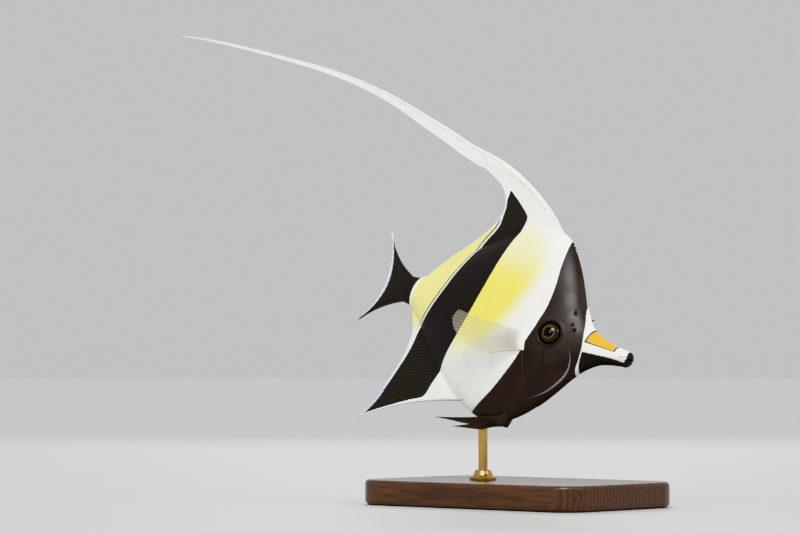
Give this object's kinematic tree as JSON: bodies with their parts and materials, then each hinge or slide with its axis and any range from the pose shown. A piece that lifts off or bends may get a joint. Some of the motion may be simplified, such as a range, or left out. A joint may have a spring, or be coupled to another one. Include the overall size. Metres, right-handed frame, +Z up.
{
  "type": "moorish idol fish model",
  "caption": "Life-size still model of a moorish idol with a long back streamer, banking nose-down on a rod over a flat wooden base.",
  "frame": {"origin": "centre of the stand base's underside", "axes": "+Z up; the fish heads towards +X and banks so that its back leans towards +Y and its right side faces -Y"},
  "size_m": [0.353, 0.084, 0.2511],
  "materials": {
    "skin_pale": "painted fish skin, satin, white to lemon yellow with a black band",
    "skin_dark": "painted fish skin, satin, warm brown-black with a white and yellow snout",
    "fin_pale": "thin painted fin, satin, white with a black band and a yellow rear",
    "fin_dark": "thin painted fin, satin, black with white margins",
    "fin_clear": "thin clear fin with darker rays",
    "eye": "polished eye, dark iris round a black pupil",
    "stand_wood": "dark stained wood, satin varnish",
    "stand_brass": "brushed brass"
  },
  "bodies": {
    "root": {"head": "skin_dark", "lower_jaw": "skin_dark", "trunk": "skin_pale", "tail_stalk": "skin_pale", "dorsal_fin": "fin_pale", "dorsal_streamer": "fin_pale", "anal_fin": "fin_dark", "caudal_fin": "fin_dark", "pectoral_fin_l": "fin_clear", "pectoral_fin_r": "fin_clear", "pelvic_fin_l": "fin_dark", "pelvic_fin_r": "fin_dark", "eye_l": "eye", "eye_r": "eye", "horn_l": "skin_dark", "horn_r": "skin_dark", "stand_base": "stand_wood", "stand_collar": "stand_brass", "stand_rod": "stand_brass"}
  },
  "joints": []
}
